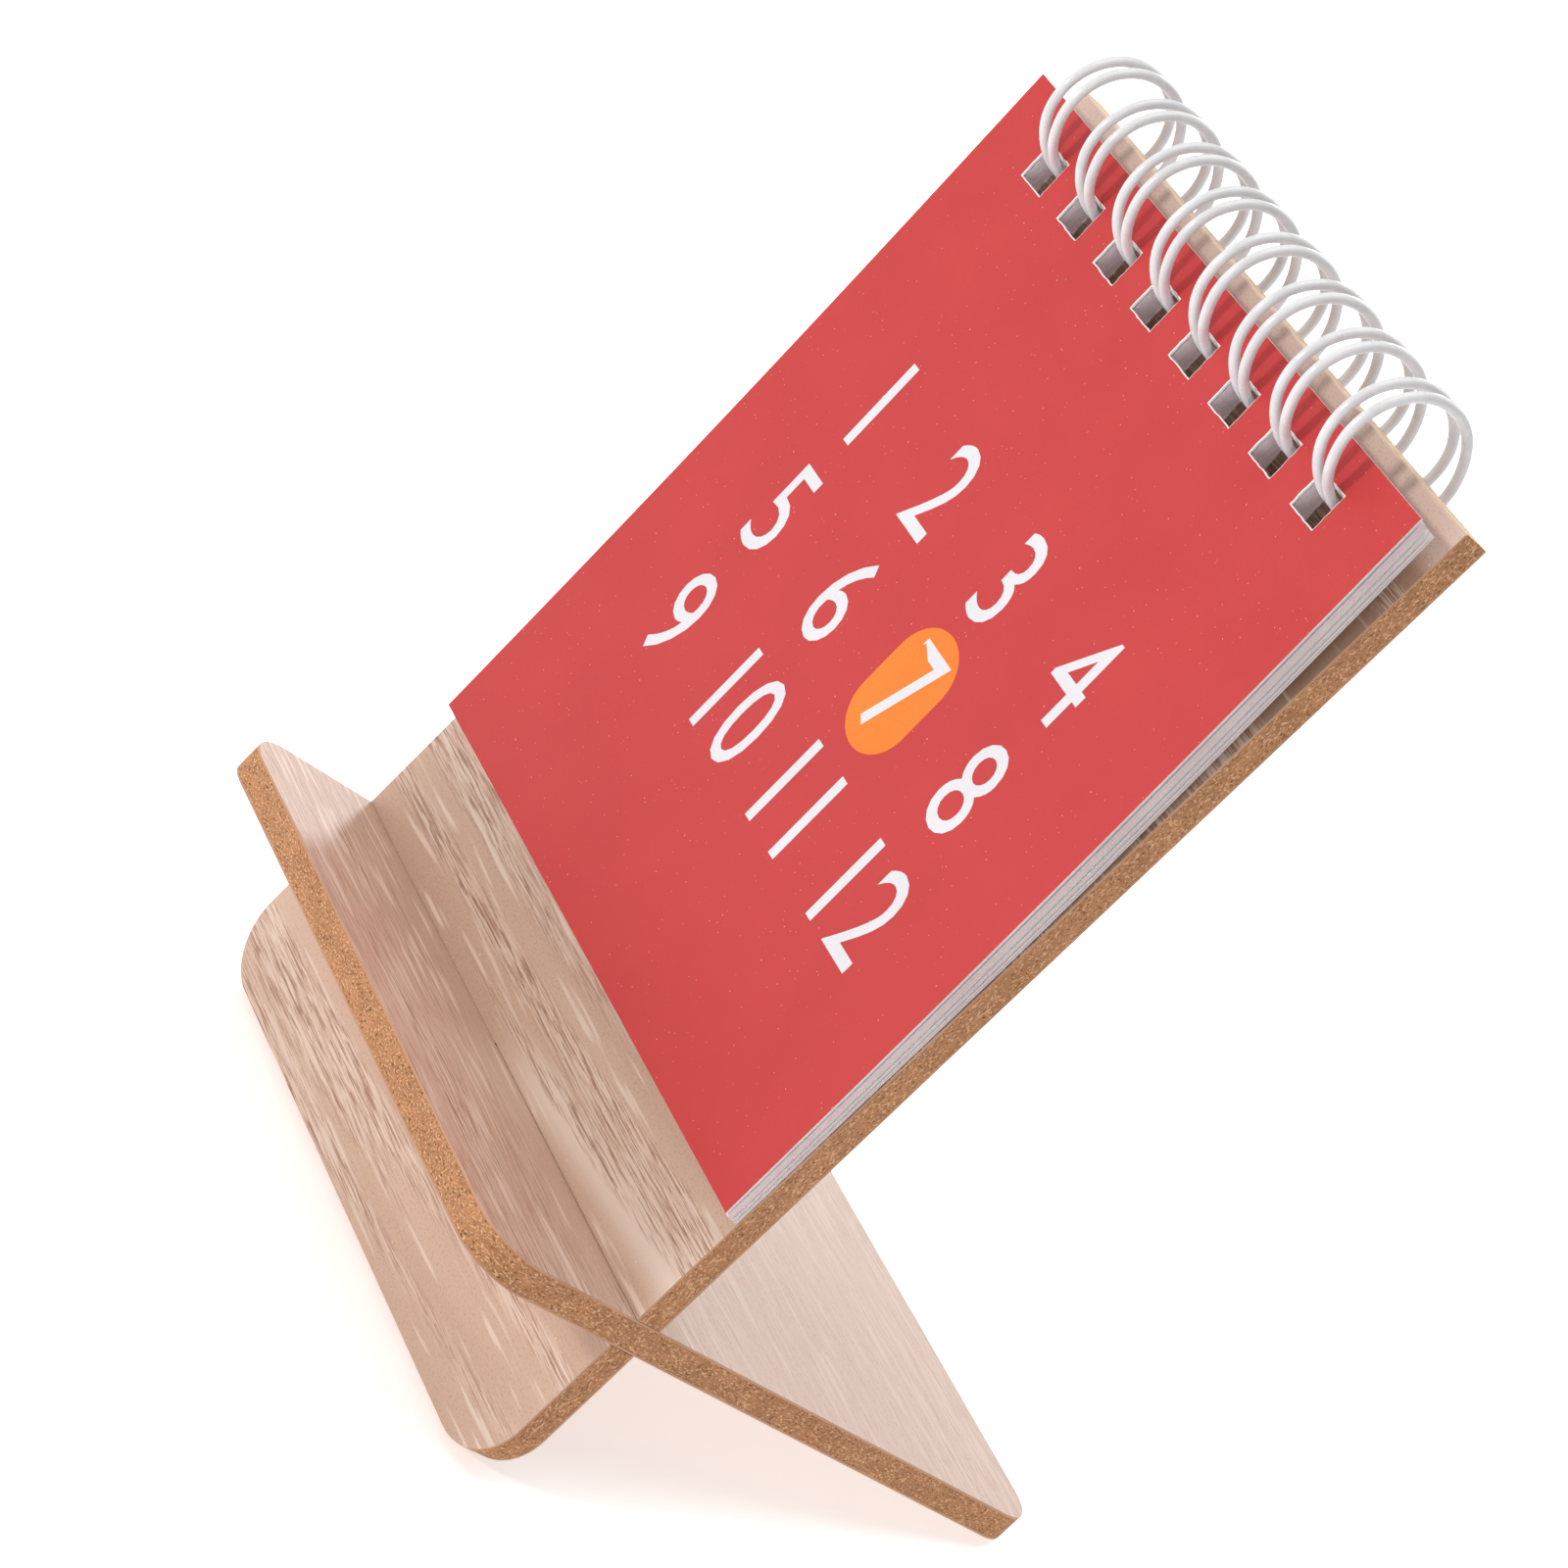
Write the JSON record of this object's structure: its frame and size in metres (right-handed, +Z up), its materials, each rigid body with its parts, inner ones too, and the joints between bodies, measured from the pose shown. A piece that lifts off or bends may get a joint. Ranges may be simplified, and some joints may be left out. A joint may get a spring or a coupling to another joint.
{
  "type": "standing desk calendar",
  "caption": "Small ring-bound desk calendar on a stand of two crossed veneered boards that slot together, with a card cover and month leaves on a white twin-loop wire.",
  "frame": {"origin": "centre of the bounding box on the table the feet stand on", "axes": "+Z up, +X to the calendar's right as its reader sees it, -Y towards the reader"},
  "size_m": [0.081, 0.0838, 0.1337],
  "materials": {
    "veneer": "wood-look veneer, satin",
    "fibreboard": "sawn fibreboard edge, matt",
    "red_card": "printed card, matt",
    "paper": "printed paper, matt",
    "white_nylon": "nylon-coated steel wire, glossy"
  },
  "bodies": {
    "back_board": {"back_board_core": "fibreboard", "back_board_front_veneer": "veneer", "back_board_rear_veneer": "veneer", "binding_wire": "white_nylon"},
    "cross_board": {"cross_board_core": "fibreboard", "cross_board_top_veneer": "veneer", "cross_board_under_veneer": "veneer"},
    "cover": {"cover": "red_card"},
    "leaf_01": {"month_leaf_01": "paper"},
    "leaf_02": {"month_leaf_02": "paper"},
    "leaf_03": {"month_leaf_03": "paper"},
    "leaf_04": {"month_leaf_04": "paper"},
    "leaf_05": {"month_leaf_05": "paper"},
    "leaf_06": {"month_leaf_06": "paper"},
    "leaf_07": {"month_leaf_07": "paper"},
    "leaf_08": {"month_leaf_08": "paper"},
    "leaf_09": {"month_leaf_09": "paper"},
    "leaf_10": {"month_leaf_10": "paper"},
    "leaf_11": {"month_leaf_11": "paper"},
    "leaf_12": {"month_leaf_12": "paper"}
  },
  "joints": [
    {"name": "cross_board_slide", "type": "slide", "parent": "back_board", "child": "cross_board", "axis": [1, 0, 0], "range_m": [0, 0.0405]},
    {"name": "cover_turn", "type": "hinge", "parent": "back_board", "child": "cover", "pos_m": [0, 0.00712, 0.1263], "axis": [-1, 0, 0], "range_deg": [0, 200]},
    {"name": "leaf_01_turn", "type": "hinge", "parent": "back_board", "child": "leaf_01", "pos_m": [0, 0.00712, 0.1263], "axis": [-1, 0, 0], "range_deg": [0, 198]},
    {"name": "leaf_02_turn", "type": "hinge", "parent": "back_board", "child": "leaf_02", "pos_m": [0, 0.00712, 0.1263], "axis": [-1, 0, 0], "range_deg": [0, 195]},
    {"name": "leaf_03_turn", "type": "hinge", "parent": "back_board", "child": "leaf_03", "pos_m": [0, 0.00712, 0.1263], "axis": [-1, 0, 0], "range_deg": [0, 192]},
    {"name": "leaf_04_turn", "type": "hinge", "parent": "back_board", "child": "leaf_04", "pos_m": [0, 0.00712, 0.1263], "axis": [-1, 0, 0], "range_deg": [0, 189]},
    {"name": "leaf_05_turn", "type": "hinge", "parent": "back_board", "child": "leaf_05", "pos_m": [0, 0.00712, 0.1263], "axis": [-1, 0, 0], "range_deg": [0, 186]},
    {"name": "leaf_06_turn", "type": "hinge", "parent": "back_board", "child": "leaf_06", "pos_m": [0, 0.00712, 0.1263], "axis": [-1, 0, 0], "range_deg": [0, 184]},
    {"name": "leaf_07_turn", "type": "hinge", "parent": "back_board", "child": "leaf_07", "pos_m": [0, 0.00712, 0.1263], "axis": [-1, 0, 0], "range_deg": [0, 181]},
    {"name": "leaf_08_turn", "type": "hinge", "parent": "back_board", "child": "leaf_08", "pos_m": [0, 0.00712, 0.1263], "axis": [-1, 0, 0], "range_deg": [0, 178]},
    {"name": "leaf_09_turn", "type": "hinge", "parent": "back_board", "child": "leaf_09", "pos_m": [0, 0.00712, 0.1263], "axis": [-1, 0, 0], "range_deg": [0, 175]},
    {"name": "leaf_10_turn", "type": "hinge", "parent": "back_board", "child": "leaf_10", "pos_m": [0, 0.00712, 0.1263], "axis": [-1, 0, 0], "range_deg": [0, 172]},
    {"name": "leaf_11_turn", "type": "hinge", "parent": "back_board", "child": "leaf_11", "pos_m": [0, 0.00712, 0.1263], "axis": [-1, 0, 0], "range_deg": [0, 170]},
    {"name": "leaf_12_turn", "type": "hinge", "parent": "back_board", "child": "leaf_12", "pos_m": [0, 0.00712, 0.1263], "axis": [-1, 0, 0], "range_deg": [0, 167]}
  ],
  "couplings": [
    {"joint": "leaf_01_turn", "follows": "cover_turn", "ratio": 0.986},
    {"joint": "leaf_02_turn", "follows": "cover_turn", "ratio": 0.972},
    {"joint": "leaf_03_turn", "follows": "cover_turn", "ratio": 0.958},
    {"joint": "leaf_04_turn", "follows": "cover_turn", "ratio": 0.944},
    {"joint": "leaf_05_turn", "follows": "cover_turn", "ratio": 0.93},
    {"joint": "leaf_06_turn", "follows": "cover_turn", "ratio": 0.916},
    {"joint": "leaf_07_turn", "follows": "cover_turn", "ratio": 0.902},
    {"joint": "leaf_08_turn", "follows": "cover_turn", "ratio": 0.888},
    {"joint": "leaf_09_turn", "follows": "cover_turn", "ratio": 0.874},
    {"joint": "leaf_10_turn", "follows": "cover_turn", "ratio": 0.86},
    {"joint": "leaf_11_turn", "follows": "cover_turn", "ratio": 0.846},
    {"joint": "leaf_12_turn", "follows": "cover_turn", "ratio": 0.832}
  ]
}
